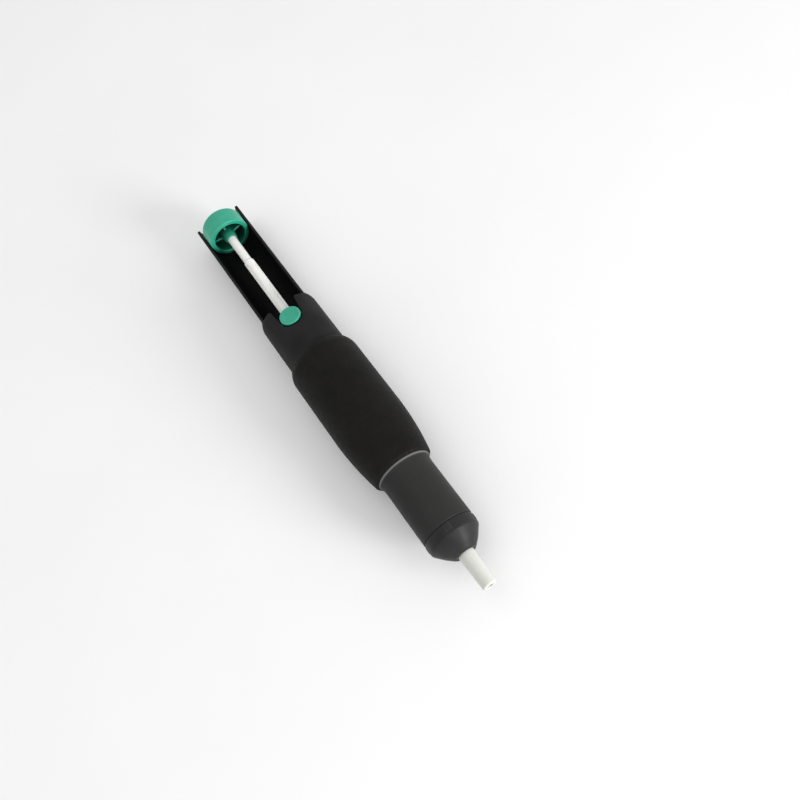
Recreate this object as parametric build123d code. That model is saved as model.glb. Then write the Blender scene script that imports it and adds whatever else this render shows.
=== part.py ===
from build123d import *
import os

# Spring-loaded desoldering pump, lying along X with its nozzle at +X and its release button up.
# Each piece is first drawn with the pump's axis on X and the nozzle's tip at x = 227,
# then set down so that the belly of the grip rests on z = 0 and the length is centred on x = 0.
# All sizes are in millimetres.

# overall
GUARD_START = -2.5
NOZZLE_TIP = 227.0
LENGTH = NOZZLE_TIP - GUARD_START
RUNNING = 0.1            # radial clearance of a running fit

# rear housing: open guard trough, closed handle body, socket for the barrel
GUARD_R = 12.1
BORE_R = 10.7            # inside of the trough and of the handle body
BODY_R = 14.1
SKIRT_R = 13.6           # stretch of the housing that the grip covers
FLARE_START = 66.0
FLARE_END = 74.5
BODY_END = 112.0
EDGE_HEIGHT = 0.5        # the trough's edges stand this far above the axis
MOUTH_START = 63.5       # where the trough's edge begins to rise
CREST_X = 73.0           # rear edge of the closed body
WALL_REAR = 90.8         # partition that holds the rod's bush
WALL_FRONT = 96.0

# barrel and grip
BARREL_R = 11.5
BARREL_BORE_R = 10.0
BARREL_END = 199.6
FLARE_R = 12.4           # the barrel's rear edge flares out against the grip's lip
BARREL_SEAT_R = 11.0     # hidden stretch, inside the housing and the grip
GRIP_START = 101.0
GRIP_END = 168.3
GRIP_R = 16.5
GRIP_FLAT = 0.3          # how far the soft sleeve gives where the pump lies on it

# release button and latch
BUTTON_X = 81.9
BUTTON_R = 4.95
BUTTON_TOP = 14.8         # height of the face at its front edge
BUTTON_SLOPE = 8         # degrees by which the face falls towards the knob
BUTTON_TRAVEL = 1.2
WELL_R = 5.4
NOTCH_HALF = 7.0         # half the width of the notch where it opens to the trough
FLANGE_R = 6.0
FLANGE_BOTTOM = 6.6
FLANGE_TOP = 8.0
PLATE_THICK = 1.8
PLATE_HALF = 6.4
PLATE_BOTTOM = -6.6
TAB_HALF = 3.0
TAB_TOP = 12.0
POCKET_FLOOR = -12.0     # seat of the button's spring, sunk in the housing's wall
POCKET_R = 2.5

# plunger
KNOB_START = 2.5
KNOB_END = 13.3
KNOB_R = 10.4
KNOB_RIM = 2.3
HUB_END = 15.2
ROD_R = 2.6
SHOULDER_X = 32.7        # the latch catches here when the plunger is pushed in
PISTON_START = 99.2
PISTON_END = 108.4
PISTON_R = 9.75
SEAL_START = 102.4       # seal groove of the piston
SEAL_END = 104.9
SPIGOT_END = 104.4       # front end of the rod's spigot, inside the piston
PIN_R = 1.0
PIN_TIP = 169.6

# nose
NOSE_SPIGOT = 190.0
BAND_END = 203.8
CONE_END = 210.9
NOZZLE_BASE_R = 3.5
NOZZLE_TIP_R = 3.05
NOZZLE_BORE_R = 1.5

AXIS_HEIGHT = GRIP_R - GRIP_FLAT


def turned(*outline):
    """Solid of revolution about X from (x, radius) corners."""
    return revolve(make_face(Polyline(*outline, close=True)), Axis.X, 360)


def ring(x0, x1, r_in, r_out):
    """Plain ring about X."""
    return turned((x0, r_in), (x1, r_in), (x1, r_out), (x0, r_out))


def coil(pitch, turns, mean_r, wire_r, start, direction):
    """Open helical spring wire from start along direction."""
    path = Helix(pitch, pitch * turns, mean_r, center=start, direction=direction)
    section = Plane(path @ 0, z_dir=path % 0) * Circle(wire_r)
    return sweep(section, path=path, is_frenet=True)


# ---- rear housing -----------------------------------------------------------------------

def housing_outside():
    """Outer skin: slim guard, a smooth flare, the handle body and the skirt under the grip."""
    flare = Spline(
        (FLARE_START, GUARD_R), (FLARE_END, BODY_R),
        tangents=((1, 0), (1, 0)),
    )
    edge = Curve() + [
        Line((GUARD_START, 0), (GUARD_START, GUARD_R)),
        Line((GUARD_START, GUARD_R), (FLARE_START, GUARD_R)),
        flare,
        Line((FLARE_END, BODY_R), (GRIP_START, BODY_R)),
        Line((GRIP_START, BODY_R), (GRIP_START, SKIRT_R)),
        Line((GRIP_START, SKIRT_R), (BODY_END, SKIRT_R)),
        Line((BODY_END, SKIRT_R), (BODY_END, 0)),
        Line((BODY_END, 0), (GUARD_START, 0)),
    ]
    return revolve(make_face(edge), Axis.X, 360)


def trough_opening():
    """What is cut away above the guard, up to the crest where the body closes."""
    top = BODY_R + 6
    rise = BODY_R - EDGE_HEIGHT
    corner = 2.2
    tip = GUARD_START
    outside = tip - 2
    edge = Curve() + [
        Line((outside, -6), (tip, -6)),
        Line((tip, -6), (tip, EDGE_HEIGHT - corner)),
        RadiusArc((tip, EDGE_HEIGHT - corner), (tip + corner, EDGE_HEIGHT), corner),
        Line((tip + corner, EDGE_HEIGHT), (MOUTH_START, EDGE_HEIGHT)),
        EllipticalCenterArc((MOUTH_START, BODY_R), CREST_X - MOUTH_START, rise, 270, arc_size=90),
        Line((CREST_X, BODY_R), (CREST_X, top)),
        Line((CREST_X, top), (outside, top)),
        Line((outside, top), (outside, -6)),
    ]
    return extrude(make_face(Plane.XZ * edge), 20, both=True)


def button_notch():
    """U-shaped notch in the crest, which narrows to the round well of the button."""
    start = CREST_X - 4
    mouth = Polyline(
        (start, NOTCH_HALF), (BUTTON_X, WELL_R), (BUTTON_X, -WELL_R), (start, -NOTCH_HALF), close=True
    )
    plan = make_face(mouth) + Pos(BUTTON_X, 0) * Circle(WELL_R)
    return Pos(0, 0, FLANGE_BOTTOM) * extrude(plan, BODY_R)


def latch_guides():
    """Two pairs of ribs that keep the latch plate square to the rod."""
    ribs = []
    for side in (-1, 1):
        for offset in (-1, 1):
            centre = BUTTON_X + offset * (PLATE_THICK / 2 + RUNNING + 0.9)
            ribs.append(Pos(centre, side * 8.0, -2.5) * Box(1.8, 6.0, 13.0))
    inside = Pos(BUTTON_X, 0, 0) * Rot(0, 90, 0) * Cylinder(BORE_R + 0.5, 20)
    return [rib & inside for rib in ribs]


def opening_rim(body, nearest, farthest):
    """Edges round the opening that lie between two distances from the axis."""
    found = ShapeList()
    for edge in body.edges():
        extent = edge.bounding_box()
        points = [edge @ t for t in (0.05, 0.5, 0.95)]
        distances = [Vector(0, point.Y, point.Z).length for point in points]
        in_opening = extent.max.X < BUTTON_X + WELL_R + 0.3
        seam = extent.size.X < 0.01 and extent.max.X > GUARD_START + 0.1
        if in_opening and not seam and nearest < min(distances) and max(distances) < farthest:
            found.append(edge)
    return found


def rear_housing():
    body = housing_outside()
    body -= ring(GUARD_START - 1, WALL_REAR, 0, BORE_R)
    body -= trough_opening()
    body -= button_notch()
    notch_corners = body.edges().filter_by(
        lambda edge: CREST_X - 1.5 < edge.center().X < CREST_X and 3.5 < edge.length < 4.5
    )
    body = fillet(notch_corners, 1.2)
    body = fillet(opening_rim(body, GUARD_R - 0.1, BODY_R + 0.1), 0.4)
    body = fillet(opening_rim(body, BORE_R - 0.02, BORE_R + 0.02), 0.3)
    body -= ring(WALL_REAR - 1, WALL_FRONT + 1, 0, 5.0)
    body -= ring(WALL_FRONT, BODY_END + 1, 0, BARREL_SEAT_R)
    for rib in latch_guides():
        body += rib
    body -= Pos(BUTTON_X, 0, POCKET_FLOOR) * extrude(Circle(POCKET_R), -PLATE_BOTTOM)
    return body


def rod_guide_bush():
    """Flanged bush in the partition, a running fit on the rod."""
    bore = ROD_R + RUNNING
    return turned(
        (WALL_REAR, bore), (WALL_REAR, 5.0), (WALL_FRONT, 5.0), (WALL_FRONT, 8.0),
        (WALL_FRONT + 1.2, 8.0), (WALL_FRONT + 1.2, bore),
    )


def return_bumper():
    """Rubber ring that stops the piston quietly at the end of its return."""
    start = WALL_FRONT + 1.2
    return turned(
        (start, 3.2), (start, 7.4), (start + 1.2, 7.4), (start + 1.9, 6.6),
        (start + 1.9, 4.0), (start + 1.2, 3.2),
    )


# ---- barrel and grip --------------------------------------------------------------------

def barrel():
    return turned(
        (WALL_FRONT, BARREL_BORE_R), (BARREL_END, BARREL_BORE_R), (BARREL_END, BARREL_R - 0.3),
        (BARREL_END - 0.3, BARREL_R), (GRIP_END + 4.3, BARREL_R), (GRIP_END + 2.2, BARREL_R + 0.15),
        (GRIP_END + 0.9, BARREL_R + 0.45), (GRIP_END, FLARE_R), (GRIP_END, BARREL_SEAT_R),
        (WALL_FRONT, BARREL_SEAT_R),
    )


def grip_sleeve():
    """Soft sleeve: quick rise from the body, straight belly, long taper and a rolled front lip."""
    heel = (GRIP_START, BODY_R + 0.5)
    full = (GRIP_START + 5.5, GRIP_R)
    shoulder = (GRIP_START + 40, GRIP_R)
    brow = (GRIP_END - 1.2, 13.75)
    lip = (GRIP_END, 12.6)
    edge = Curve() + [
        Line((GRIP_START, SKIRT_R), heel),
        ThreePointArc(heel, (GRIP_START + 2.1, 15.8), full),
        Line(full, shoulder),
        ThreePointArc(shoulder, (GRIP_START + 55, 15.55), brow),
        ThreePointArc(brow, (GRIP_END - 0.25, 13.25), lip),
        Line(lip, (GRIP_END, BARREL_SEAT_R)),
        Line((GRIP_END, BARREL_SEAT_R), (BODY_END, BARREL_SEAT_R)),
        Line((BODY_END, BARREL_SEAT_R), (BODY_END, SKIRT_R)),
        Line((BODY_END, SKIRT_R), (GRIP_START, SKIRT_R)),
    ]
    sleeve = revolve(make_face(edge), Axis.X, 360)
    table = Pos((GRIP_START + GRIP_END) / 2, 0, -AXIS_HEIGHT - 5) * Box(80, 40, 10)
    return sleeve - table


# ---- plunger ----------------------------------------------------------------------------

def plunger_knob():
    """Cup-shaped thumb knob: thick rim, closed back, hub and four ribs inside."""
    back = KNOB_START + 2.4
    hollow_r = KNOB_R - KNOB_RIM
    knob = turned((KNOB_START, 0), (KNOB_START, KNOB_R), (KNOB_END, KNOB_R), (KNOB_END, 0))
    rear_edge = knob.edges().filter_by(GeomType.CIRCLE).sort_by(Axis.X)[0]
    knob = fillet(rear_edge, 1.8)
    knob -= ring(back, KNOB_END + 1, 0, hollow_r)
    rims = knob.edges().filter_by(GeomType.CIRCLE).filter_by_position(Axis.X, KNOB_END, KNOB_END)
    knob = fillet(rims, 0.5)
    knob += turned((back, 0), (back, 4.6), (HUB_END, 2.75), (HUB_END, 0))
    web = Polyline(
        (back, hollow_r + 0.5), (10.0, hollow_r + 0.5), (10.5, 3.0), (10.5, -3.0),
        (10.0, -hollow_r - 0.5), (back, -hollow_r - 0.5), close=True,
    )
    for side in (0, 90):
        knob += Rot(side, 0, 0) * extrude(make_face(web), 0.6, both=True)
    knob -= ring(KNOB_START + 1.6, HUB_END + 1, 0, 2.2)
    return knob


def plunger_rod():
    """Fluted rod with a tapered neck at the knob, a latch shoulder and a front spigot."""
    rod = turned(
        (KNOB_START + 1.6, 0), (KNOB_START + 1.6, 2.2), (HUB_END, 2.2),
        (SHOULDER_X, 2.1), (SHOULDER_X, 2.35), (SHOULDER_X + 0.4, ROD_R),
        (PISTON_START, ROD_R), (PISTON_START, 2.0), (SPIGOT_END, 2.0), (SPIGOT_END, 0),
    )
    flute_start = SHOULDER_X + 3
    flute_end = PISTON_START - 4
    for quarter in range(4):
        flute = Pos((flute_start + flute_end) / 2, 0, ROD_R) * Box(flute_end - flute_start, 1.2, 1.8)
        rod -= Rot(45 + 90 * quarter, 0, 0) * flute
    return rod


def piston():
    """Piston with a seal groove and sockets for the rod and the cleaning pin."""
    return turned(
        (PISTON_START, 2.0), (PISTON_START, 8.6), (PISTON_START + 1.0, PISTON_R),
        (SEAL_START, PISTON_R), (SEAL_START, 8.1), (SEAL_END, 8.1), (SEAL_END, PISTON_R),
        (PISTON_END, PISTON_R), (PISTON_END, PIN_R), (SPIGOT_END, PIN_R), (SPIGOT_END, 2.0),
    )


def seal_ring(x0, x1, r_in, r_out):
    """Rubber ring with rounded edges."""
    body = ring(x0, x1, r_in, r_out)
    return fillet(body.edges().filter_by(GeomType.CIRCLE), 0.45 * min(x1 - x0, r_out - r_in))


def spring_seat_washer():
    return ring(PISTON_END, PISTON_END + 0.8, 3.2, 9.2)


def cleaning_pin():
    """Steel pin that clears the nozzle, with a collar that clamps the piston."""
    return turned(
        (SPIGOT_END, 0), (SPIGOT_END, PIN_R), (PISTON_END, PIN_R), (PISTON_END, 3.0),
        (PISTON_END + 2.4, 3.0),
        (PISTON_END + 3.4, PIN_R), (PIN_TIP - 1.6, PIN_R), (PIN_TIP, 0.35), (PIN_TIP, 0),
    )


def main_spring():
    start = PISTON_END + 0.8
    wire_r = 0.55
    turns = 13
    pitch = (NOSE_SPIGOT - start - 2 * wire_r - 0.2) / turns
    return coil(pitch, turns, 7.7, wire_r, (start + wire_r + 0.1, 0, 0), (1, 0, 0))


# ---- release button ---------------------------------------------------------------------

def latch_tab():
    height = TAB_TOP - FLANGE_BOTTOM
    return Pos(BUTTON_X, 0, FLANGE_BOTTOM + height / 2) * Box(PLATE_THICK, 2 * TAB_HALF, height)


def release_button():
    """Round push button with a retaining flange; the latch plate's tab plugs into it."""
    stem = Pos(BUTTON_X, 0, FLANGE_TOP) * extrude(Circle(BUTTON_R), BUTTON_TOP - FLANGE_TOP)
    front_edge = Pos(BUTTON_X + BUTTON_R, 0, BUTTON_TOP)
    stem -= front_edge * Rot(0, -BUTTON_SLOPE, 0) * Pos(-10, 0, 5) * Box(24, 24, 10)
    stem = fillet(stem.edges().sort_by(Axis.Z)[-1], 0.6)
    flange = Pos(BUTTON_X, 0, FLANGE_BOTTOM) * extrude(Circle(FLANGE_R), FLANGE_TOP - FLANGE_BOTTOM)
    return stem + flange - latch_tab()


def latch_plate():
    """Steel plate round the rod; its oblong hole frees the rod when the button is down."""
    outline = Polyline(
        (-4.0, PLATE_BOTTOM), (4.0, PLATE_BOTTOM), (PLATE_HALF, -5.0), (PLATE_HALF, 3.6),
        (TAB_HALF, FLANGE_BOTTOM), (-TAB_HALF, FLANGE_BOTTOM), (-PLATE_HALF, 3.6),
        (-PLATE_HALF, -5.0), close=True,
    )
    hole_r = ROD_R + 0.2
    hole = Circle(hole_r) + Pos(0, BUTTON_TRAVEL) * Circle(hole_r)
    hole += Pos(0, BUTTON_TRAVEL / 2) * Rectangle(2 * hole_r, BUTTON_TRAVEL)
    across = Plane((BUTTON_X - PLATE_THICK / 2, 0, 0), x_dir=(0, 1, 0), z_dir=(1, 0, 0))
    return extrude(across * (make_face(outline) - hole), PLATE_THICK) + latch_tab()


def button_spring():
    wire_r = 0.25
    turns = 5
    pitch = (PLATE_BOTTOM - POCKET_FLOOR - 2 * wire_r - 0.1) / turns
    return coil(pitch, turns, 1.9, wire_r, (BUTTON_X, 0, POCKET_FLOOR + wire_r + 0.05), (0, 0, 1))


# ---- nose -------------------------------------------------------------------------------

def nose_cap():
    """Conical cap with a spigot that plugs into the barrel and carries the seal ring."""
    cap = turned(
        (NOSE_SPIGOT, 6.9), (NOSE_SPIGOT, 9.6), (NOSE_SPIGOT + 0.4, 9.93), (192.6, 9.93),
        (192.6, 8.9), (194.8, 8.9), (194.8, 9.93), (BARREL_END, 9.93), (BARREL_END, 11.1),
        (BARREL_END + 0.3, 11.4), (BAND_END, 11.4), (BAND_END + 0.8, 10.9), (208.3, 7.95),
        (CONE_END, 5.4), (CONE_END + 0.5, 4.6), (CONE_END + 0.5, NOZZLE_BASE_R),
        (206.6, NOZZLE_BASE_R),
        (206.6, 4.6), (203.0, 4.6), (199.6, 7.6), (192.0, 7.6), (192.0, 6.9),
    )
    for quarter in range(4):
        for step in (-1, 0, 1):
            rib = Pos((BARREL_END + BAND_END) / 2, 0, 11.35) * Box(BAND_END - BARREL_END - 1, 0.45, 0.6)
            cap += Rot(90 * quarter + 5.5 * step, 0, 0) * rib
    return cap


def nozzle():
    """White heat-proof nozzle, held by its inner flange."""
    return turned(
        (205.2, NOZZLE_BORE_R), (205.2, 4.5), (206.6, 4.5), (206.6, NOZZLE_BASE_R),
        (CONE_END + 0.5, NOZZLE_BASE_R), (NOZZLE_TIP - 0.7, NOZZLE_TIP_R), (NOZZLE_TIP, 2.4),
        (NOZZLE_TIP, NOZZLE_BORE_R),
    )


def nozzle_retainer():
    """Ring pressed into the nose behind the nozzle's seal."""
    return turned((203.0, 2.2), (203.0, 4.6), (204.2, 4.6), (204.2, 2.2))


PIECES = {
    "rear_housing": rear_housing(),
    "rod_guide_bush": rod_guide_bush(),
    "return_bumper": return_bumper(),
    "barrel": barrel(),
    "grip_sleeve": grip_sleeve(),
    "plunger_knob": plunger_knob(),
    "plunger_rod": plunger_rod(),
    "piston": piston(),
    "piston_seal_ring": seal_ring(SEAL_START + 0.05, SEAL_END - 0.05, 8.1, BARREL_BORE_R - 0.04),
    "spring_seat_washer": spring_seat_washer(),
    "cleaning_pin": cleaning_pin(),
    "main_spring": main_spring(),
    "release_button": release_button(),
    "latch_plate": latch_plate(),
    "button_spring": button_spring(),
    "nose_cap": nose_cap(),
    "nose_seal_ring": seal_ring(192.65, 194.75, 8.9, BARREL_BORE_R - 0.03),
    "nozzle": nozzle(),
    "nozzle_seal_ring": ring(204.2, 205.2, 2.4, 4.5),
    "nozzle_retainer": nozzle_retainer(),
}

os.makedirs("parts", exist_ok=True)
for name, shape in PIECES.items():
    placed = Pos(-LENGTH / 2 - GUARD_START, 0, AXIS_HEIGHT) * shape
    export_step(placed, f"parts/{name}.step")
    print(f"{name:20s} {shape.volume:10.1f} mm3  valid {shape.is_valid}")
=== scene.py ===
# %% [markdown]
# # A spring-loaded desoldering pump
#
# The pump sucks molten solder off a joint. A thumb knob pushes a piston against a spring, a latch
# holds it, and a press on the round green button lets it fly back.
#
# The engineering model is the frame: every solid piece already has its true place and size there.
# This notebook dresses that frame. Pieces that the hand and eye meet are modelled again with soft
# edges and fine detail, and hidden pieces keep their shape and get a proper finish.

import math

import bmesh
import bpy
from mathutils import Matrix, Vector


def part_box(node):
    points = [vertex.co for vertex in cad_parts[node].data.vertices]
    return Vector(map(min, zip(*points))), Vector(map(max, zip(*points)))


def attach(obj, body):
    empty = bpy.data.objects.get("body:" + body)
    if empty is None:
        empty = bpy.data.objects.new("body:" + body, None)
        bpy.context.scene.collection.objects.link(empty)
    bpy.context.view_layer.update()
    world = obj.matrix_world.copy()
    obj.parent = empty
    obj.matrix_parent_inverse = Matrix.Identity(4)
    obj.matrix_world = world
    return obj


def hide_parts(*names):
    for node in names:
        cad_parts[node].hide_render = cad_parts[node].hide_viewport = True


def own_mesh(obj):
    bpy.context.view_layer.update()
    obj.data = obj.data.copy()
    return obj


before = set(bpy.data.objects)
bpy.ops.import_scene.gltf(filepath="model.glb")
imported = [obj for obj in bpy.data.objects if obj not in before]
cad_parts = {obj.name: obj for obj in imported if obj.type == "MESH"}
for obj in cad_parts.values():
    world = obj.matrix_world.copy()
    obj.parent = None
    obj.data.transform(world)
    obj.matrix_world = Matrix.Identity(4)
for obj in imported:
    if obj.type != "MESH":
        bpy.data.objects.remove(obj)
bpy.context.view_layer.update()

# %% [markdown]
# ## Where things are
#
# The pump lies along X with its nozzle at +X. Drawings of turned pieces are easiest to read as
# (distance, radius) in millimetres. Distances count from a datum 227 mm behind the nozzle's tip,
# near the open end, and a short helper turns them into metres in the frame. The nozzle's tip and
# the height of the centre line are measured on the frame.

# %% Measure the centre line
MM = 0.001
BARREL_LOW, BARREL_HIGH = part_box("barrel")
AXIS = (BARREL_LOW[2] + BARREL_HIGH[2]) / 2
NOZZLE_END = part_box("nozzle")[1][0]
DATUM = NOZZLE_END - 227.0 * MM
BUTTON_LOW, BUTTON_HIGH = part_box("release_button")
BUTTON_AT = (BUTTON_LOW[0] + BUTTON_HIGH[0]) / 2


def along(x_mm):
    """Frame X of a point so many millimetres from the datum."""
    return DATUM + x_mm * MM


print(f"centre line at z {AXIS * 1000:.2f} mm, datum at x {DATUM * 1000:.2f} mm")

# %% [markdown]
# ## A lathe with rounded corners
#
# Most of the pump is turned: a flat outline swept once round the axis. On a real moulding no corner
# is perfectly sharp, and it is the small radius that catches the light. So each corner of an
# outline carries its own rounding, in millimetres, and the lathe swaps it for a short arc. It also
# adds a support point beside each arc, which keeps smooth shading flat on the flat stretches.

# %% Round an outline
ARC_STEP = math.radians(12)
SUPPORT = 0.12


def rounded(outline):
    """Closed list of (along, radius) points, with an arc in place of each rounded corner."""
    corners = [Vector(point[:2]) for point in outline]
    roundings = [point[2] if len(point) > 2 else 0.0 for point in outline]
    points = []
    for i, corner in enumerate(corners):
        before = corners[i - 1] - corner
        after = corners[(i + 1) % len(corners)] - corner
        turn = math.pi - before.angle(after, math.pi)
        if roundings[i] == 0 or turn < 0.02:
            points.append(corner)
            continue
        cut = min(roundings[i] * math.tan(turn / 2), 0.48 * before.length, 0.48 * after.length)
        radius = cut / math.tan(turn / 2)
        start = corner + before.normalized() * cut
        end = corner + after.normalized() * cut
        centre = corner + (before.normalized() + after.normalized()).normalized() * (
            radius / math.cos(turn / 2)
        )
        if before.length > 4 * cut:
            points.append(start + before.normalized() * min(SUPPORT, 0.3 * before.length))
        steps = max(3, math.ceil(turn / ARC_STEP))
        for step in range(steps + 1):
            share = step / steps
            first, last = start - centre, end - centre
            spoke = (
                first * math.sin((1 - share) * turn) + last * math.sin(share * turn)
            ) / math.sin(turn) if math.sin(turn) > 1e-4 else first.lerp(last, share)
            points.append(centre + spoke)
        if after.length > 4 * cut:
            points.append(end + after.normalized() * min(SUPPORT, 0.3 * after.length))
    return points


def arc_through(first, middle, last, steps):
    """Points of the circle through three points, from the first to the last."""
    a, b, c = Vector(first), Vector(middle), Vector(last)
    d = 2 * (a.x * (b.y - c.y) + b.x * (c.y - a.y) + c.x * (a.y - b.y))
    centre = Vector((
        (a.dot(a) * (b.y - c.y) + b.dot(b) * (c.y - a.y) + c.dot(c) * (a.y - b.y)) / d,
        (a.dot(a) * (c.x - b.x) + b.dot(b) * (a.x - c.x) + c.dot(c) * (b.x - a.x)) / d,
    ))
    radius = (a - centre).length
    from_angle = math.atan2(a.y - centre.y, a.x - centre.x)
    to_angle = math.atan2(c.y - centre.y, c.x - centre.x)
    if to_angle - from_angle > math.pi:
        to_angle -= 2 * math.pi
    if from_angle - to_angle > math.pi:
        to_angle += 2 * math.pi
    angles = [from_angle + (to_angle - from_angle) * i / steps for i in range(steps + 1)]
    return [(centre.x + radius * math.cos(g), centre.y + radius * math.sin(g)) for g in angles]


# %% [markdown]
# The lathe itself works in bmesh: one ring of vertices for each point of the outline, and a band of
# quads between neighbouring rings. Points on the axis collapse into a single vertex, so the poles
# are clean and the piece is closed.

# %% Turn an outline round an axis
ROUND = 144


def add_mesh(name, bm):
    """Finishes a bmesh as a smooth object at the origin."""
    bmesh.ops.remove_doubles(bm, verts=bm.verts, dist=1e-7)
    bmesh.ops.recalc_face_normals(bm, faces=bm.faces)
    for face in bm.faces:
        face.smooth = True
    mesh = bpy.data.meshes.new(name)
    bm.to_mesh(mesh)
    bm.free()
    piece = bpy.data.objects.new(name, mesh)
    bpy.context.scene.collection.objects.link(piece)
    return piece


def lathe(name, outline, upright=False, segments=ROUND):
    """Turns an outline round the pump's axis, or round the button's upright axis."""
    bm = bmesh.new()
    rings = []
    for x_mm, r_mm in rounded(outline):
        ring = []
        for i in range(segments):
            angle = 2 * math.pi * i / segments
            side, up = r_mm * MM * math.sin(angle), r_mm * MM * math.cos(angle)
            if upright:
                ring.append(bm.verts.new((BUTTON_AT + up, side, AXIS + x_mm * MM)))
            else:
                ring.append(bm.verts.new((along(x_mm), side, AXIS + up)))
        rings.append(ring)
    for this, following in zip(rings, rings[1:] + rings[:1]):
        for i in range(segments):
            j = (i + 1) % segments
            bm.faces.new((this[i], this[j], following[j], following[i]))
    return add_mesh(name, bm)


# %% [markdown]
# ## Finishes
#
# Each real surface has a story at three scales: a colour that drifts a little over centimetres, a
# sheen that changes over millimetres, and a grain of tenths that breaks up the highlight. The small
# class below keeps the node work short, so that each finish reads as a recipe. All patterns use
# Object coordinates in metres, so a grain size is a real size.

# %% A short way to write node recipes
class Finish:
    """A material being mixed: its shader, and short names for the nodes that paint it."""

    def __init__(self, name, uniform):
        self.material = bpy.data.materials.new(name)
        self.material.use_nodes = True
        self.nodes = self.material.node_tree.nodes
        self.links = self.material.node_tree.links
        self.shader = self.nodes["Principled BSDF"]
        for socket, value in uniform.items():
            self.shader.inputs[socket].default_value = value
        self.place = self.node("TexCoord").outputs["Object"]

    def node(self, kind, values=None, **settings):
        made = self.nodes.new("ShaderNode" + kind)
        for key, value in settings.items():
            setattr(made, key, value)
        for key, value in (values or {}).items():
            if isinstance(value, bpy.types.NodeSocket):
                self.links.new(value, made.inputs[key])
            else:
                made.inputs[key].default_value = value
        return made

    def stretched(self, x, y, z):
        """Object coordinates centred on the axis and scaled, for streaks and rings."""
        centred = self.node("Mapping", {"Vector": self.place, "Location": (0, 0, -AXIS)})
        scaled = self.node("Mapping", {"Vector": centred.outputs[0], "Scale": (x, y, z)})
        return scaled.outputs[0]

    def noise(self, size_mm, detail=3.0, roughness=0.55, place=None):
        """Cloudy pattern, 0 to 1, with patches of about size_mm."""
        values = {"Vector": place or self.place, "Scale": 1000 / size_mm, "Detail": detail,
                  "Roughness": roughness}
        return self.node("TexNoise", values).outputs["Fac"]

    def pits(self, size_mm):
        """Distance to the nearest of many scattered points, for pores and specks."""
        values = {"Vector": self.place, "Scale": 1000 / size_mm}
        return self.node("TexVoronoi", values).outputs["Distance"]

    def from_axis(self):
        """Distance from the pump's axis, in metres."""
        across = self.node("SeparateXYZ", {0: self.stretched(1, 1, 1)}).outputs
        squares = [self.math("POWER", across[letter], 2.0) for letter in "YZ"]
        return self.math("SQRT", self.math("ADD", *squares))

    def span(self, value, low, high, to_low=0.0, to_high=1.0):
        values = {"Value": value, "From Min": low, "From Max": high, "To Min": to_low,
                  "To Max": to_high}
        return self.node("MapRange", values).outputs["Result"]

    def math(self, operation, a, b=0.0):
        return self.node("Math", {0: a, 1: b}, operation=operation).outputs[0]

    def edges(self, radius_mm, strength):
        """0 on flat skin, rising to strength along rounded edges and rims."""
        soft = self.node("Bevel", {"Radius": radius_mm * MM}, samples=4).outputs[0]
        true = self.node("NewGeometry").outputs["Normal"]
        same = self.node("VectorMath", {0: soft, 1: true}, operation="DOT_PRODUCT")
        return self.span(same.outputs["Value"], 0.99, 0.8, 0.0, strength)

    def blend(self, share, a, b):
        """Colour between a and b."""
        mixed = self.node("Mix", data_type="RGBA")
        for index, value in ((0, share), (6, a), (7, b)):
            if isinstance(value, bpy.types.NodeSocket):
                self.links.new(value, mixed.inputs[index])
            else:
                mixed.inputs[index].default_value = value
        return mixed.outputs[2]

    def colour(self, value):
        self.links.new(value, self.shader.inputs["Base Color"])

    def roughness(self, value):
        self.links.new(value, self.shader.inputs["Roughness"])

    def bump(self, *layers):
        """Stacks (height, depth in mm) layers, coarse first."""
        normal = None
        for height, depth_mm in layers:
            values = {"Height": height, "Distance": depth_mm * MM, "Strength": 1.0}
            if normal is not None:
                values["Normal"] = normal
            normal = self.node("Bump", values).outputs["Normal"]
        self.links.new(normal, self.shader.inputs["Normal"])


def grey(value, warm=0.0):
    """Neutral linear colour, a little warmer (red up, blue down) if asked."""
    return (value * (1 + warm), value, value * (1 - warm), 1.0)


# %% [markdown]
# ### Moulded black plastic
#
# The handle body, the guard and the nose are glass-filled nylon from a spark-eroded mould: a fine
# even grain, a satin sheen, faint flow clouds, and edges painted a shade lighter, partly as wear
# from fingers and partly as painted sheen. The inside of the trough comes off a polished core pin,
# so it is smoother, and its colour is painted much darker there as painted shade. A mask on the
# distance from the axis tells the two skins apart. The same recipe serves both pieces, with its own
# tone and grain for each.

# %% Moulded black
def moulded_black(name, tone, grain_mm, sheen, gleam, core_radius_mm=0.0):
    """Black with a linear grey tone, a mean roughness (sheen) and a specular level (gleam)."""
    mix = Finish(name, {"Specular IOR Level": gleam})
    clouds = mix.noise(14, detail=4)
    streaks = mix.noise(3, place=mix.stretched(0.12, 1, 1))
    grain = mix.noise(grain_mm, detail=2)
    specks = mix.span(mix.pits(1.7), 0.10, 0.04, 0.0, 1.0)
    wear_and_sheen = mix.edges(0.5, 0.75)
    core_and_shade = mix.span(mix.from_axis(), (core_radius_mm + 0.6) * MM, (core_radius_mm + 0.1) * MM)
    dark, light = grey(tone * 0.75), grey(tone * 1.3)
    base = mix.blend(mix.span(clouds, 0.3, 0.7), dark, light)
    base = mix.blend(mix.math("MULTIPLY", specks, 0.2), base, grey(tone * 3.0))
    # Edges painted lighter: partly wear, partly painted sheen.
    base = mix.blend(wear_and_sheen, base, grey(tone * 2.2))
    # The trough's inner skin is painted much darker: painted shade inside the trough.
    base = mix.blend(mix.math("MULTIPLY", core_and_shade, 0.8), base, grey(tone * 0.12))
    mix.colour(base)
    rough = mix.span(streaks, 0.3, 0.7, sheen - 0.07, sheen + 0.08)
    rough = mix.math("SUBTRACT", rough, mix.math("MULTIPLY", wear_and_sheen, 0.12))
    mix.roughness(mix.math("SUBTRACT", rough, mix.math("MULTIPLY", core_and_shade, 0.1)))
    mix.bump((clouds, 0.05), (streaks, 0.02), (grain, 0.03))
    return mix.material


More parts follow.
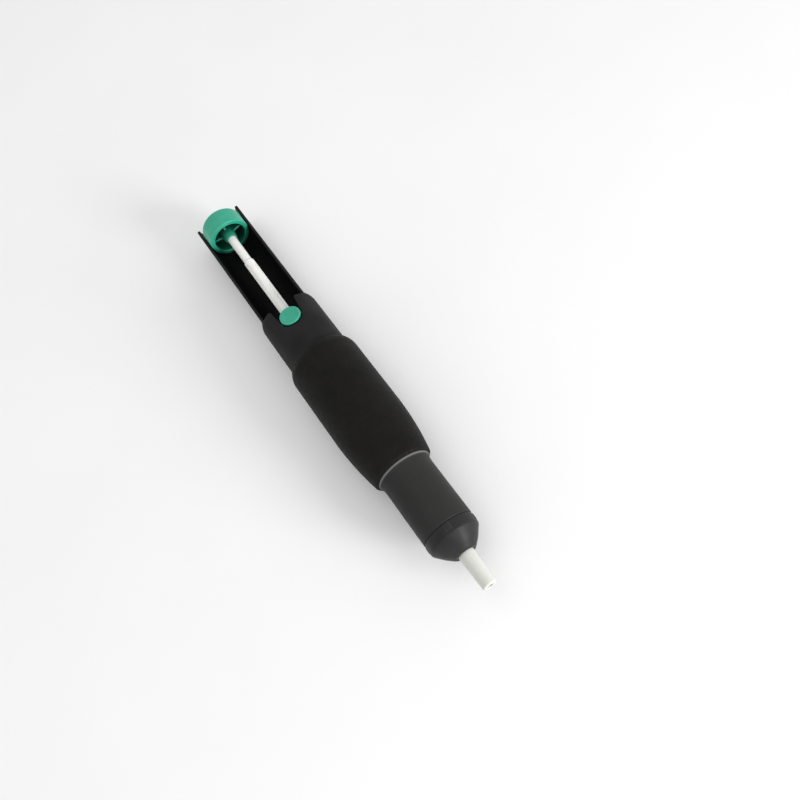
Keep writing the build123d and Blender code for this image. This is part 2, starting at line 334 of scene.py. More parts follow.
body_black = moulded_black("moulded_black_body", 0.0165, 0.22, 0.58, 0.08, core_radius_mm=10.7)
nose_black = moulded_black("moulded_black_nose", 0.024, 0.16, 0.44, 0.16)
print("made", body_black.name, nose_black.name)

# %% [markdown]
# ### Soft grip
#
# The sleeve is a foamed soft rubber. It drinks light: very dark, almost no highlight, thousands of
# tiny pores, and a dusty bloom that shows as a thin velvet sheen at grazing angles.

# %% Soft grip
def soft_rubber(name):
    mix = Finish(name, {"Specular IOR Level": 0.12, "Sheen Weight": 0.03, "Sheen Roughness": 0.5})
    bloom = mix.noise(9, detail=5, roughness=0.6)
    hand = mix.noise(2.2, detail=3)
    pores = mix.span(mix.pits(0.55), 0.05, 0.35)
    wear_and_sheen = mix.edges(0.7, 0.6)
    base = mix.blend(mix.span(bloom, 0.35, 0.7), grey(0.0045, 0.08), grey(0.0080, 0.12))
    base = mix.blend(mix.span(pores, 0.0, 1.0, 0.5, 0.0), base, grey(0.002))
    # Edges and the lip painted lighter: partly wear, partly painted highlight.
    base = mix.blend(wear_and_sheen, base, grey(0.022, 0.05))
    mix.colour(base)
    rough = mix.span(hand, 0.3, 0.7, 0.62, 0.80)
    mix.roughness(mix.math("SUBTRACT", rough, mix.math("MULTIPLY", wear_and_sheen, 0.3)))
    mix.bump((bloom, 0.08), (hand, 0.04), (pores, 0.035))
    return mix.material


grip_black = soft_rubber("soft_black_rubber")
print("made", grip_black.name)

# %% [markdown]
# ### Drawn tube
#
# The barrel is an extruded tube. The die leaves hair-fine lines along its length, and the surface
# is a shade lighter and smoother than the mouldings beside it. The lines come from noise that is
# squeezed along X, so each patch becomes a long streak. The flared rear edge is painted pale as a
# painted highlight, and a mask on the distance from the axis finds it; the edges are painted pale
# too, partly as wear and partly as painted highlight.

# %% Drawn tube
def drawn_tube(name):
    mix = Finish(name, {"Specular IOR Level": 0.08})
    lines = mix.noise(0.35, detail=2, place=mix.stretched(0.02, 1, 1))
    clouds = mix.noise(18, detail=4)
    handling = mix.noise(4, detail=4, roughness=0.65)
    wear_and_sheen = mix.edges(0.4, 0.7)
    base = mix.blend(mix.span(clouds, 0.3, 0.7), grey(0.026, 0.02), grey(0.032, 0.02))
    base = mix.blend(mix.span(lines, 0.45, 0.62, 0.0, 0.3), base, grey(0.034))
    # Flared rim painted pale: a painted highlight, shared with the edges.
    flare_glint = mix.span(mix.from_axis(), 11.9 * MM, 12.3 * MM)
    base = mix.blend(mix.math("MAXIMUM", wear_and_sheen, flare_glint), base, grey(0.160))
    mix.colour(base)
    mix.roughness(mix.span(handling, 0.3, 0.7, 0.42, 0.56))
    mix.bump((clouds, 0.05), (lines, 0.012))
    return mix.material


barrel_dark = drawn_tube("drawn_dark_tube")
print("made", barrel_dark.name)

# %% [markdown]
# ### Green moulding
#
# Knob and button are polypropylene, slightly translucent: light sinks in a little before it comes
# back, which is what subsurface weight does. The mould was only half polished, so the highlight is
# broad. Ambient occlusion finds the corners and hollows, where the colour is painted much darker as
# painted shade, and the rims are painted paler, partly as wear and partly as painted highlight.

# %% Green moulding
def green_moulding(name):
    mix = Finish(name, {"Specular IOR Level": 0.45, "Subsurface Weight": 0.12,
                        "Subsurface Radius": (0.4, 1.0, 0.8), "Subsurface Scale": 0.0008,
                        "Coat Weight": 0.08, "Coat Roughness": 0.25})
    flow = mix.noise(5, detail=4, roughness=0.6)
    haze = mix.noise(1.2, detail=3)
    grain = mix.noise(0.14, detail=2)
    wear_and_sheen = mix.edges(0.5, 0.55)
    # Ambient occlusion marks the corners and hollows for painted shade.
    shade = mix.node("AmbientOcclusion", {"Distance": 0.008}, samples=4).outputs["AO"]
    shade_in_hollows = mix.span(shade, 0.80, 0.35)
    base = mix.blend(mix.span(flow, 0.3, 0.7), (0.020, 0.335, 0.212, 1), (0.030, 0.400, 0.262, 1))
    # Rims painted paler: partly wear, partly painted highlight.
    base = mix.blend(wear_and_sheen, base, (0.220, 0.620, 0.500, 1))
    # Corners and hollows painted dark teal: painted shade.
    base = mix.blend(mix.math("MULTIPLY", shade_in_hollows, 0.95), base, (0.001, 0.036, 0.022, 1))
    mix.colour(base)
    mix.roughness(mix.span(haze, 0.3, 0.7, 0.32, 0.46))
    mix.bump((flow, 0.05), (grain, 0.012))
    return mix.material


green = green_moulding("green_moulding")
print("made", green.name)

# %% [markdown]
# ### White plastics
#
# Three pale plastics: the rod is hard acetal with a slight sheen and a film of grease near the
# handle, the nozzle is a waxy fluoroplastic with soft edges, and the hidden bearings are natural
# nylon, yellower and more translucent. One recipe with four settings keeps them a family.

# %% White plastics
def pale_plastic(name, tint, shine, translucency, marks):
    """Pale plastic with a mean roughness (shine), subsurface weight and strength of the streaks."""
    mix = Finish(name, {"Specular IOR Level": 0.4, "Subsurface Weight": translucency,
                        "Subsurface Radius": (1.0, 0.9, 0.8), "Subsurface Scale": 0.0012})
    mottle = mix.noise(6, detail=4)
    streaks = mix.noise(0.9, detail=3, place=mix.stretched(0.06, 1, 1))
    grain = mix.noise(0.12, detail=2)
    specks = mix.span(mix.pits(2.6), 0.07, 0.03)
    red, green_part, blue = tint
    clean = (red, green_part, blue, 1)
    aged = (red * 0.93, green_part * 0.92, blue * 0.87, 1)
    base = mix.blend(mix.span(mottle, 0.35, 0.7), clean, aged)
    base = mix.blend(mix.span(streaks, 0.5, 0.75, 0.0, marks), base, grey(0.45, 0.02))
    base = mix.blend(mix.math("MULTIPLY", specks, 0.35), base, grey(0.22, 0.05))
    mix.colour(base)
    mix.roughness(mix.span(streaks, 0.3, 0.7, shine - 0.06, shine + 0.1))
    mix.bump((mottle, 0.04), (streaks, 0.015), (grain, 0.008))
    return mix.material


rod_white = pale_plastic("white_acetal", (0.92, 0.92, 0.91), 0.38, 0.08, 0.18)
nozzle_white = pale_plastic("waxy_white_tip", (0.69, 0.70, 0.67), 0.55, 0.2, 0.06)
natural = pale_plastic("natural_nylon", (0.62, 0.58, 0.46), 0.42, 0.3, 0.12)
print("made", rod_white.name, nozzle_white.name, natural.name)

# %% [markdown]
# ### Steel
#
# Turned steel shows rings round the axis: noise on the distance from the axis gives them. Spring
# wire is drawn and oil-blackened, with brighter patches where coils rub. Both are fully metallic,
# so their colour lives in the reflection.

# %% Steel
def steel(name, tone, wire):
    """Metal with marks of drawing if it is wire, and turning rings if not."""
    mix = Finish(name, {"Metallic": 1.0})
    patches = mix.noise(4, detail=4, roughness=0.6)
    fine = mix.noise(0.25, detail=2)
    lengthwise = mix.node("SeparateXYZ", {0: mix.place}).outputs["X"]
    ringed = mix.node("CombineXYZ", {"X": mix.from_axis(), "Y": lengthwise}).outputs[0]
    rings = mix.noise(0.18, detail=2, place=ringed)
    marks = fine if wire else rings
    base = mix.blend(mix.span(patches, 0.35, 0.7), grey(tone * 0.8, 0.03), grey(tone * 1.1, 0.01))
    base = mix.blend(mix.span(marks, 0.55, 0.8, 0.0, 0.35), base, grey(tone * 0.45, 0.08))
    mix.colour(base)
    mix.roughness(mix.span(patches, 0.3, 0.7, 0.24, 0.42))
    mix.bump((patches, 0.01), (marks, 0.006))
    return mix.material


turned_steel = steel("turned_steel", 0.55, False)
spring_wire = steel("oiled_spring_wire", 0.38, True)
print("made", turned_steel.name, spring_wire.name)

# %% [markdown]
# ### Greased seals
#
# The seal rings are black nitrile with a smear of silicone grease: a dull rubber below and a wet
# film on top in patches. The film is in the roughness, because a coat that comes and goes would
# need a linked coat socket.

# %% Greased seals
def greased_rubber(name):
    mix = Finish(name, {"Specular IOR Level": 0.5})
    smear = mix.noise(2.4, detail=4, roughness=0.6)
    grain = mix.noise(0.2, detail=2)
    wet = mix.span(smear, 0.45, 0.6)
    mix.colour(mix.blend(wet, grey(0.030, 0.02), grey(0.014)))
    mix.roughness(mix.span(wet, 0.0, 1.0, 0.68, 0.22))
    mix.bump((smear, 0.03), (grain, 0.01))
    return mix.material


seal_black = greased_rubber("greased_seal_rubber")
print("made", seal_black.name)

# %% [markdown]
# ## Putting a piece in service
#
# Each new piece stands for one node of the frame, rides on the body that carries that node, and
# takes the finish it is given. One helper does the three steps: it gives the finish, hangs the
# piece on its body and hides the node.

# %% Fit a piece to its node
def size_mm(low, high):
    return [round((b - a) * 1000, 2) for a, b in zip(low, high)]


def fit(piece, node, body, material):
    piece.data.materials.clear()
    piece.data.materials.append(material)
    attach(piece, body)
    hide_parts(node)
    return piece


# %% [markdown]
# ## Barrel
#
# The barrel is a plain tube whose interest is in its ends: a small radius at the front, which makes
# half of the dark seam against the nose, a flare with its rim painted bright as a highlight, which
# closes the gap to the grip's lip, and a thinner stretch hidden under grip and housing.

# %% Turn the barrel
barrel = lathe("barrel_tube", [
    (96.0, 10.0, 0.2), (199.6, 10.0, 0.15), (199.6, 11.5, 0.5), (173.0, 11.5, 6.0),
    (170.2, 11.66, 3.0), (169.1, 12.0, 1.5), (168.9, 12.4, 0.25), (168.3, 12.4, 0.15),
    (168.3, 11.0, 0.0), (96.0, 11.0, 0.2),
])
fit(barrel, "barrel", "housing", barrel_dark)

# %% [markdown]
# ## Grip sleeve
#
# The sleeve swells quickly from the body, runs straight under the palm, then tapers in a long curve
# to a rolled lip. Arcs through three points keep the curve fair. Where the pump lies on the bench
# the soft sleeve gives a little, so vertices below the bench are brought up to it.

# %% Turn the grip sleeve
heel = arc_through((101.0, 14.6), (103.1, 15.8), (106.5, 16.5), 10)
taper = arc_through((141.0, 16.5), (156.0, 15.55), (167.1, 13.75), 22)
sleeve_outline = [(101.0, 13.6, 0.1)]
sleeve_outline += [heel[0] + (0.5,)] + [point + (0.0,) for point in heel[1:]]
sleeve_outline += [(x, 16.5, 0.0) for x in (112.0, 120.0, 128.0, 136.0)]
sleeve_outline += [point + (0.0,) for point in taper[:-1]]
sleeve_outline += [
    (167.35, 13.7, 0.6), (168.3, 12.75, 0.7), (168.3, 11.55, 0.25), (167.6, 11.02, 0.0),
    (112.0, 11.0, 0.0), (112.0, 13.6, 0.0),
]
sleeve = lathe("grip_sleeve_soft", sleeve_outline)
for vertex in sleeve.data.vertices:
    vertex.co.z = max(vertex.co.z, 0.0)
fit(sleeve, "grip_sleeve", "housing", grip_black)

# %% [markdown]
# ## Repeating round the axis
#
# Ribs on the nose and webs in the knob both repeat round the pump's axis. A Geometry Nodes tree
# does it once for both: it takes the mesh it sits on as the pattern, makes one point for each copy,
# turns each copy by its group and by its place in the group, then realizes the instances.

# %% Build the tree that repeats a pattern
def new_tree(name, inputs):
    """Geometry tree with named inputs, a material input and its output."""
    tree = bpy.data.node_groups.new(name, "GeometryNodeTree")
    tree.interface.new_socket("Geometry", in_out="INPUT", socket_type="NodeSocketGeometry")
    for label, kind in inputs:
        tree.interface.new_socket(label, in_out="INPUT", socket_type="NodeSocket" + kind)
    tree.interface.new_socket("Finish", in_out="INPUT", socket_type="NodeSocketMaterial")
    tree.interface.new_socket("Geometry", in_out="OUTPUT", socket_type="NodeSocketGeometry")
    return tree


class Rule:
    """Short names for wiring a geometry tree."""

    def __init__(self, name, inputs):
        self.tree = new_tree(name, inputs)
        self.given = self.tree.nodes.new("NodeGroupInput").outputs

    def node(self, kind, values=None, **settings):
        made = self.tree.nodes.new(kind)
        for key, value in settings.items():
            setattr(made, key, value)
        for key, value in (values or {}).items():
            if isinstance(value, bpy.types.NodeSocket):
                self.tree.links.new(value, made.inputs[key])
            else:
                made.inputs[key].default_value = value
        return made

    def math(self, operation, a, b=0.0):
        return self.node("ShaderNodeMath", {0: a, 1: b}, operation=operation).outputs[0]

    def ramp(self, value, low, high, to_low, to_high, smooth=False):
        values = {"Value": value, "From Min": low, "From Max": high, "To Min": to_low,
                  "To Max": to_high}
        kind = "SMOOTHSTEP" if smooth else "LINEAR"
        made = self.node("ShaderNodeMapRange", values, interpolation_type=kind)
        return made.outputs["Result"]

    def end(self, geometry):
        """Smooth, realize, paint and hand out."""
        smooth = self.node("GeometryNodeSetShadeSmooth", {"Geometry": geometry})
        real = self.node("GeometryNodeRealizeInstances", {"Geometry": smooth.outputs[0]})
        values = {"Geometry": real.outputs[0], "Material": self.given["Finish"]}
        painted = self.node("GeometryNodeSetMaterial", values)
        out = self.tree.nodes.new("NodeGroupOutput")
        self.tree.links.new(painted.outputs[0], out.inputs[0])
        return self.tree


def grow(piece, tree, values):
    """Runs a tree on a piece with these inputs and keeps the result as the piece's plain mesh."""
    rule = piece.modifiers.new(tree.name, "NODES")
    rule.node_group = tree
    for item in tree.interface.items_tree:
        if item.in_out == "INPUT" and item.name in values:
            rule[item.identifier] = values[item.name]
    piece.update_tag()
    bpy.context.view_layer.update()
    graph = bpy.context.evaluated_depsgraph_get()
    result = bpy.data.meshes.new_from_object(piece.evaluated_get(graph))
    piece.modifiers.remove(rule)
    piece.data = result
    print(piece.name, "grown by", tree.name, "to", len(result.polygons), "faces")
    return piece


def repeat_tree():
    rule = Rule("repeat_round_axis", [
        ("Groups", "Int"), ("Copies in a group", "Int"), ("Spacing", "Float"), ("Height", "Float"),
    ])
    given = rule.given
    total = rule.math("MULTIPLY", given["Groups"], given["Copies in a group"])
    points = rule.node("GeometryNodePoints", {"Count": total})
    index = rule.node("GeometryNodeInputIndex").outputs[0]
    group = rule.math("FLOOR", rule.math("DIVIDE", index, given["Copies in a group"]))
    member = rule.math("MODULO", index, given["Copies in a group"])
    middle = rule.math("DIVIDE", rule.math("SUBTRACT", given["Copies in a group"], 1.0), 2.0)
    turn = rule.math("DIVIDE", 2 * math.pi, given["Groups"])
    from_middle = rule.math("SUBTRACT", member, middle)
    angle = rule.math("ADD", rule.math("MULTIPLY", group, turn),
                      rule.math("MULTIPLY", from_middle, given["Spacing"]))
    spin = rule.node("ShaderNodeCombineXYZ", {"X": angle}).outputs[0]
    placed = rule.node("GeometryNodeInstanceOnPoints", {
        "Points": points.outputs[0], "Instance": given["Geometry"], "Rotation": spin,
    })
    lift = rule.node("ShaderNodeCombineXYZ", {"Z": given["Height"]}).outputs[0]
    moved = rule.node("GeometryNodeTransform", {
        "Geometry": placed.outputs[0], "Translation": lift,
    })
    return rule.end(moved.outputs[0])


repeat_round_axis = repeat_tree()
print("tree", repeat_round_axis.name)

# %% [markdown]
# ## Nose cap
#
# The nose plugs into the barrel with a spigot that carries a seal ring. Outside it has a short
# band, a rounded shoulder and a cone that is very slightly domed, ending in a thin collar round the
# nozzle. Four groups of three short ribs on the band give the fingers something to pull.

# %% Turn the nose and add its ribs
BAND_R = 11.4
nose = lathe("nose_cone", [
    (190.0, 6.9, 0.2), (190.0, 9.6, 0.15), (190.4, 9.93, 0.1), (192.6, 9.93, 0.1),
    (192.6, 8.9, 0.1), (194.8, 8.9, 0.1), (194.8, 9.93, 0.1), (199.6, 9.93, 0.05),
    (199.6, BAND_R, 0.6), (204.3, BAND_R, 1.6), (208.6, 7.95, 14.0), (210.9, 5.5, 0.7),
    (211.4, 4.8, 0.3), (211.4, 3.5, 0.1), (206.6, 3.5, 0.05),
    (206.6, 4.6, 0.05), (203.0, 4.6, 0.1), (199.6, 7.6, 0.2), (192.0, 7.6, 0.1), (192.0, 6.9, 0.1),
])


def rib_pattern(start, end, radius, half_width, proud):
    """One rib on the band at the top: a half-round ridge that sinks into the skin at both ends."""
    bm = bmesh.new()
    rows = 18
    across = 10
    grid = []
    for i in range(rows + 1):
        t = i / rows
        fade = math.sqrt(max(0.0, 1 - abs(2 * t - 1) ** 5))
        row = []
        for j in range(across + 1):
            angle = math.pi * j / across
            y = -half_width * math.cos(angle) * (0.25 + 0.75 * fade)
            z = radius - 0.35 + (0.35 + proud) * math.sin(angle) * fade
            row.append(bm.verts.new((along(start + (end - start) * t), y * MM, z * MM)))
        grid.append(row)
    for i in range(rows):
        for j in range(across):
            bm.faces.new((grid[i][j], grid[i + 1][j], grid[i + 1][j + 1], grid[i][j + 1]))
        bm.faces.new((grid[i][across], grid[i + 1][across], grid[i + 1][0], grid[i][0]))
    bm.faces.new(grid[0])
    bm.faces.new(grid[rows][::-1])
    return add_mesh("nose_ribs", bm)


ribs = grow(rib_pattern(199.9, 203.4, BAND_R, 0.28, 0.22), repeat_round_axis, {
    "Groups": 4, "Copies in a group": 3, "Spacing": math.radians(5.5), "Height": AXIS,
    "Finish": nose_black,
})


def join(name, pieces):
    """One mesh from several."""
    bm = bmesh.new()
    for piece in pieces:
        bm.from_mesh(piece.data)
        bpy.data.objects.remove(piece)
    return add_mesh(name, bm)


nose = join("nose_cone_ribbed", [nose, ribs])
fit(nose, "nose_cap", "nose", nose_black)

# %% [markdown]
# ## Nozzle
#
# A plain tapered tube, softened at its tip because the plastic creeps with heat, and bored right
# through for the solder.

# %% Turn the nozzle
nozzle = lathe("nozzle_tip", [
    (205.2, 1.5, 0.1), (205.2, 4.5, 0.2), (206.6, 4.5, 0.2), (206.6, 3.5, 0.0), (211.4, 3.5, 0.0),
    (213.0, 3.45, 0.0), (227.0, 3.05, 1.1), (227.0, 1.5, 0.3),
], segments=96)
fit(nozzle, "nozzle", "nose", nozzle_white)

# %% [markdown]
# ## Thumb knob
#
# The knob is a cup with its open side towards the handle: a thick rim, a hub that holds the rod,
# and four webs between hub and rim. The hub is a tall cone that ends just outside the cup. Cup and
# hub are turned in one go. A web is a thin plate with softened edges, a little lower at the rim
# than at the hub, and the repeating tree makes the four.

# %% Turn the knob and add its webs
cup = lathe("knob_cup", [
    (2.5, 0.0, 0.0), (2.5, 10.4, 1.8), (13.3, 10.4, 0.6), (13.3, 8.1, 0.5), (4.9, 8.1, 0.6),
    (4.9, 4.8, 0.8), (15.2, 2.75, 0.3), (15.2, 2.25, 0.15), (4.1, 2.25, 0.0), (4.1, 0.0, 0.0),
])


def web_pattern(thickness, soften):
    """Plate between hub and rim, in the plane of the axis."""
    bm = bmesh.new()
    foot, inner, outer = 4.6, 3.0, 8.3
    side = [(foot, inner), (10.9, inner), (10.2, outer), (foot, outer)]
    left = [bm.verts.new((along(x), -thickness / 2 * MM, r * MM)) for x, r in side]
    right = [bm.verts.new((along(x), thickness / 2 * MM, r * MM)) for x, r in side]
    bm.faces.new(left)
    bm.faces.new(right[::-1])
    for i in range(4):
        j = (i + 1) % 4
        bm.faces.new((left[i], left[j], right[j], right[i]))
    bmesh.ops.bevel(bm, geom=bm.edges[:], offset=soften * MM, segments=3, profile=0.5,
                    affect="EDGES")
    return add_mesh("knob_webs", bm)


webs = grow(web_pattern(1.2, 0.3), repeat_round_axis, {
    "Groups": 4, "Copies in a group": 1, "Spacing": 0.0, "Height": AXIS, "Finish": green,
})
knob = join("thumb_knob", [cup, webs])
fit(knob, "plunger_knob", "plunger", green)

# %% [markdown]
# ## Plunger rod
#
# The rod has a slim neck at the knob, a step where the latch catches, then four shallow flutes
# to the piston. The plain rod is turned first. A second tree cuts the flutes by rule: a vertex
# moves inwards if its angle is near a flute's centre line, and the cut runs out softly at each end.

# %% Turn the rod and cut its flutes
def flute_tree():
    rule = Rule("flutes", [
        ("Count", "Int"), ("Phase", "Float"), ("Radius", "Float"), ("Half width", "Float"),
        ("Depth", "Float"), ("Start", "Float"), ("End", "Float"), ("Run-out", "Float"),
        ("Height", "Float"),
    ])
    given = rule.given
    spot = rule.node("GeometryNodeInputPosition").outputs[0]
    xyz = rule.node("ShaderNodeSeparateXYZ", {0: spot}).outputs
    up = rule.math("SUBTRACT", xyz["Z"], given["Height"])
    angle = rule.math("SUBTRACT", rule.math("ARCTAN2", xyz["Y"], up), given["Phase"])
    pitch = rule.math("DIVIDE", 2 * math.pi, given["Count"])
    half_pitch = rule.math("DIVIDE", pitch, 2.0)
    wrap = rule.node("ShaderNodeMath", {
        0: angle, 1: half_pitch, 2: rule.math("MULTIPLY", half_pitch, -1.0),
    }, operation="WRAP").outputs[0]
    away = rule.math("MULTIPLY", rule.math("ABSOLUTE", wrap), given["Radius"])
    flat_part = rule.math("MULTIPLY", given["Half width"], 0.45)
    across = rule.ramp(away, given["Half width"], flat_part, 0.0, 1.0, smooth=True)
    full_from = rule.math("ADD", given["Start"], given["Run-out"])
    full_to = rule.math("SUBTRACT", given["End"], given["Run-out"])
    entry = rule.ramp(xyz["X"], given["Start"], full_from, 0.0, 1.0, smooth=True)
    leave = rule.ramp(xyz["X"], given["End"], full_to, 0.0, 1.0, smooth=True)
    cut = rule.math("MULTIPLY", rule.math("MULTIPLY", across, given["Depth"]),
                    rule.math("MULTIPLY", entry, leave))
    out = rule.node("ShaderNodeCombineXYZ", {"Y": xyz["Y"], "Z": up}).outputs[0]
    out = rule.node("ShaderNodeVectorMath", {0: out}, operation="NORMALIZE").outputs[0]
    back = rule.math("MULTIPLY", cut, -1.0)
    shift = rule.node("ShaderNodeVectorMath", {0: out, "Scale": back}, operation="SCALE")
    moved = rule.node("GeometryNodeSetPosition", {
        "Geometry": given["Geometry"], "Offset": shift.outputs[0],
    })
    return rule.end(moved.outputs[0])


FLUTE_START, FLUTE_END = 35.0, 95.5
ROD_R = 2.6
rod_outline = [
    (4.1, 0.0), (4.1, 2.2, 0.2), (15.2, 2.2), (32.6, 2.08, 0.1), (32.7, 2.4, 0.08),
    (33.2, ROD_R, 0.15),
]
rod_outline += [(FLUTE_START + 0.25 * i, ROD_R) for i in range(9)]
rod_outline += [(40.0 + 5.0 * i, ROD_R) for i in range(11)]
rod_outline += [(FLUTE_END - 2.0 + 0.25 * i, ROD_R) for i in range(9)]
rod_outline += [(99.2, ROD_R, 0.1), (99.2, 2.0), (104.4, 2.0, 0.1), (104.4, 0.0)]
rod = grow(lathe("plunger_rod_plain", rod_outline), flute_tree(), {
    "Count": 4, "Phase": math.radians(45), "Radius": ROD_R * MM, "Half width": 0.75 * MM,
    "Depth": 0.75 * MM, "Start": along(FLUTE_START), "End": along(FLUTE_END),
    "Run-out": 1.2 * MM, "Height": AXIS, "Finish": rod_white,
})
rod.name = "plunger_rod_fluted"
fit(rod, "plunger_rod", "plunger", rod_white)

# %% [markdown]
# ## Release button
#
# The button is turned about its own upright axis: a flange that keeps it in the handle, a round
# stem, and a face with a soft edge and the faintest dish, which the fingertip finds. The face falls
# towards the knob, to lie along the notch, so the top of the turned piece is sheared down that way.

# %% Turn the button
BUTTON_R = 4.95
MIDDLE_OF_STEM = 10.0
FACE = (BUTTON_HIGH[2] - AXIS) / MM
FACE_SLOPE = math.tan(math.radians(8))
button = lathe("round_button", [
    (6.6, 0.0), (6.6, 6.0, 0.2), (8.0, 6.0, 0.2), (8.0, BUTTON_R, 0.2), (FACE, BUTTON_R, 0.55),
    (FACE, 3.9, 0.6), (FACE - 0.1, 3.1, 2.0), (FACE - 0.1, 0.0),
], upright=True, segments=112)
for vertex in button.data.vertices:
    if vertex.co.z > AXIS + MIDDLE_OF_STEM * MM:
        vertex.co.z -= (BUTTON_AT + BUTTON_R * MM - vertex.co.x) * FACE_SLOPE
fit(button, "release_button", "button", green)

# %% [markdown]
# ## Springs
#
# A compression spring is a helix whose first and last turns lie flat, so that it stands square. The
# tree makes a spiral, rewrites its height by a three-part rule (closed turn, open coil, closed
# turn), and sweeps a round wire along it. The springs ride on the housing.

# %% Wind the springs
def coil_tree():
    rule = Rule("compression_spring", [
        ("Turns", "Float"), ("Coil radius", "Float"), ("Wire radius", "Float"),
        ("Length", "Float"), ("Resolution", "Int"), ("Tilt", "Vector"), ("Foot", "Vector"),
    ])
    given = rule.given
    spiral = rule.node("GeometryNodeCurveSpiral", {
        "Resolution": given["Resolution"], "Rotations": given["Turns"],
        "Start Radius": given["Coil radius"], "End Radius": given["Coil radius"],
        "Height": given["Length"],
    })
    t = rule.node("GeometryNodeSplineParameter").outputs["Factor"]
    open_from = rule.math("DIVIDE", 1.0, given["Turns"])
    open_to = rule.math("SUBTRACT", 1.0, open_from)
    flat = rule.math("MULTIPLY", given["Wire radius"], 2.1)
    middle = rule.math("SUBTRACT", given["Length"], rule.math("MULTIPLY", flat, 2.0))
    first = rule.ramp(t, 0.0, open_from, 0.0, flat)
    second = rule.ramp(t, open_from, open_to, 0.0, middle)
    third = rule.ramp(t, open_to, 1.0, 0.0, flat)
    height = rule.math("ADD", rule.math("ADD", first, second), third)
    spot = rule.node("GeometryNodeInputPosition").outputs[0]
    xyz = rule.node("ShaderNodeSeparateXYZ", {0: spot}).outputs
    shaped = rule.node("ShaderNodeCombineXYZ", {"X": xyz["X"], "Y": xyz["Y"], "Z": height})
    wound = rule.node("GeometryNodeSetPosition", {
        "Geometry": spiral.outputs[0], "Position": shaped.outputs[0],
    })
    wire = rule.node("GeometryNodeCurvePrimitiveCircle", {
        "Resolution": 14, "Radius": given["Wire radius"],
    })
    swept = rule.node("GeometryNodeCurveToMesh", {
        "Curve": wound.outputs[0], "Profile Curve": wire.outputs[0], "Fill Caps": True,
    })
    placed = rule.node("GeometryNodeTransform", {
        "Geometry": swept.outputs[0], "Rotation": given["Tilt"], "Translation": given["Foot"],
    })
    return rule.end(placed.outputs[0])


spring_tree = coil_tree()


def empty_piece(name):
    piece = bpy.data.objects.new(name, bpy.data.meshes.new(name))
    bpy.context.scene.collection.objects.link(piece)
    return piece


def outwards(piece):
    """Turns all faces of a closed mesh outwards."""
    bm = bmesh.new()
    bm.from_mesh(piece.data)
    bmesh.ops.recalc_face_normals(bm, faces=bm.faces)
    bm.to_mesh(piece.data)
    bm.free()


SPRING_SEAT, SPRING_END = 109.2, 190.0
main_spring = grow(empty_piece("piston_spring"), spring_tree, {
    "Turns": 13.0, "Coil radius": 7.7 * MM, "Wire radius": 0.55 * MM,
    "Length": (SPRING_END - SPRING_SEAT - 1.3) * MM, "Resolution": 40,
    "Tilt": (0.0, math.radians(90), 0.0), "Foot": (along(SPRING_SEAT + 0.65), 0.0, AXIS),
    "Finish": spring_wire,
})
outwards(main_spring)
fit(main_spring, "main_spring", "housing", spring_wire)
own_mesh(main_spring)

POCKET_FLOOR, PLATE_BOTTOM = -12.0, -6.6
small_spring = grow(empty_piece("button_return_spring"), spring_tree, {
    "Turns": 6.0, "Coil radius": 1.9 * MM, "Wire radius": 0.25 * MM,
    "Length": (PLATE_BOTTOM - POCKET_FLOOR - 0.6) * MM, "Resolution": 28,
    "Tilt": (0.0, 0.0, 0.0), "Foot": (BUTTON_AT, 0.0, AXIS + (POCKET_FLOOR + 0.3) * MM),
    "Finish": spring_wire,
})
outwards(small_spring)
fit(small_spring, "button_spring", "housing", spring_wire)
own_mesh(small_spring)

# %% [markdown]
# ## Pieces that keep their shape
#
# The housing is one intricate moulding, and its shape in the frame is already right down to the
# rounded rims, so it only needs its finish. The same goes for everything sealed inside.

# %% Finish the carried-over nodes
KEPT = {
    "rear_housing": body_black,
    "rod_guide_bush": natural,
    "return_bumper": seal_black,
    "piston": natural,
    "piston_seal_ring": seal_black,
    "spring_seat_washer": turned_steel,
    "cleaning_pin": turned_steel,
    "latch_plate": turned_steel,
    "nose_seal_ring": seal_black,
    "nozzle_seal_ring": seal_black,
    "nozzle_retainer": natural,
}
for name, material in KEPT.items():
    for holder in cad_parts[name].material_slots:
        holder.material = material
print("finished", len(KEPT), "kept nodes")

# %% [markdown]
# ## Floor, light and camera
#
# A small product on white paper: a pale floor, a soft key light from the right and a little from
# the nozzle's side, which lights one half of the cone, a weaker and larger one from the upper left,
# and an even pale surround. Black plastic shows mostly what it reflects, so the lamps are large.

# %% Lay the floor
def paper(name):
    mix = Finish(name, {"Specular IOR Level": 0.2})
    cloud = mix.noise(120, detail=3)
    fibre = mix.noise(0.8, detail=3)
    mix.colour(mix.blend(mix.span(cloud, 0.3, 0.7), grey(0.93), grey(0.96)))
    mix.roughness(mix.span(fibre, 0.3, 0.7, 0.8, 0.95))
    mix.bump((fibre, 0.02))
    return mix.material


FLOOR_REACH = 3.0
floor_mesh = bpy.data.meshes.new("paper_floor")
corners = [(x * FLOOR_REACH, y * FLOOR_REACH, 0) for x, y in ((-1, -1), (1, -1), (1, 1), (-1, 1))]
floor_mesh.from_pydata(corners, [], [(0, 1, 2, 3)])
floor = bpy.data.objects.new("paper_floor", floor_mesh)
bpy.context.scene.collection.objects.link(floor)
floor_mesh.materials.append(paper("white_paper"))

# %% [markdown]
# The pump is seen from above and from its nozzle end: its axis dips 26 degrees towards the camera,
# and the view is turned until the axis runs down to the right. The camera is built from those
# angles and from a few lengths in metres, so each is one number to change.

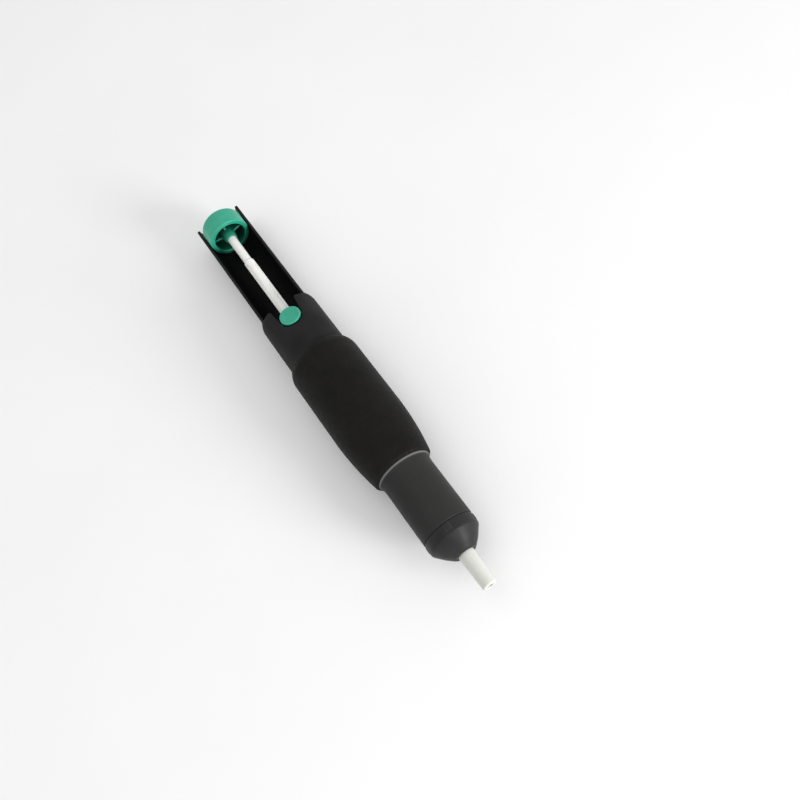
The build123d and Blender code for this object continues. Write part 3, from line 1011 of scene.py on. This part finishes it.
# %% Place the camera
DIP = math.radians(26.0)
LEAN = math.radians(4.7)
VIEW_TURN = math.radians(51.983)
DISTANCE = 0.341
SIDE_STEP = 0.0165
AHEAD = 0.0004
AIM = Vector((along(141.2), 0.0, AXIS))

up = Vector((0, -math.sin(LEAN), math.cos(LEAN)))
across = Vector((0, math.cos(LEAN), math.sin(LEAN)))
to_camera = Vector((1, 0, 0)) * math.sin(DIP) + up * math.cos(DIP)
down_axis = Vector((1, 0, 0)) * math.cos(DIP) - up * math.sin(DIP)
right = down_axis * math.cos(VIEW_TURN) + across * math.sin(VIEW_TURN)
upwards = across * math.cos(VIEW_TURN) - down_axis * math.sin(VIEW_TURN)

lens = bpy.data.cameras.new("camera")
lens.lens = 36.0
lens.sensor_width = 36.0
lens.clip_start = 0.01
camera = bpy.data.objects.new("camera", lens)
pose = Matrix((right, upwards, to_camera)).transposed().to_4x4()
pose.translation = AIM + down_axis * AHEAD + across * SIDE_STEP + to_camera * DISTANCE
camera.matrix_world = pose
bpy.context.scene.collection.objects.link(camera)
bpy.context.scene.camera = camera
print("camera at", [round(v, 4) for v in camera.matrix_world.translation])

# %% Hang the lights
def soft_light(name, direction, distance, size, power, warmth=0.0):
    """Round lamp that faces the middle of the pump; sizes in metres, power in watts."""
    lamp = bpy.data.lights.new(name, "AREA")
    lamp.shape = "DISK"
    lamp.size = size
    lamp.energy = power
    lamp.color = (1.0, 1.0 - 0.3 * warmth, 1.0 - warmth)
    holder = bpy.data.objects.new(name, lamp)
    spot = direction.normalized() * distance
    holder.matrix_world = spot.to_track_quat("Z", "Y").to_matrix().to_4x4()
    holder.matrix_world.translation = AIM + spot
    bpy.context.scene.collection.objects.link(holder)


soft_light("key", right * 1.0 + upwards * -0.25 + to_camera * 0.75, 1.1, 0.4, 9.0)
soft_light("fill", right * -0.6 + upwards * 0.6 + to_camera * 1.0, 1.3, 1.0, 1.8)

world = bpy.data.worlds.new("surround")
world.use_nodes = True
surround = world.node_tree.nodes["Background"]
surround.inputs["Color"].default_value = (1.0, 1.0, 1.0, 1.0)
surround.inputs["Strength"].default_value = 0.72
bpy.context.scene.world = world
bpy.context.scene.view_settings.view_transform = "Standard"
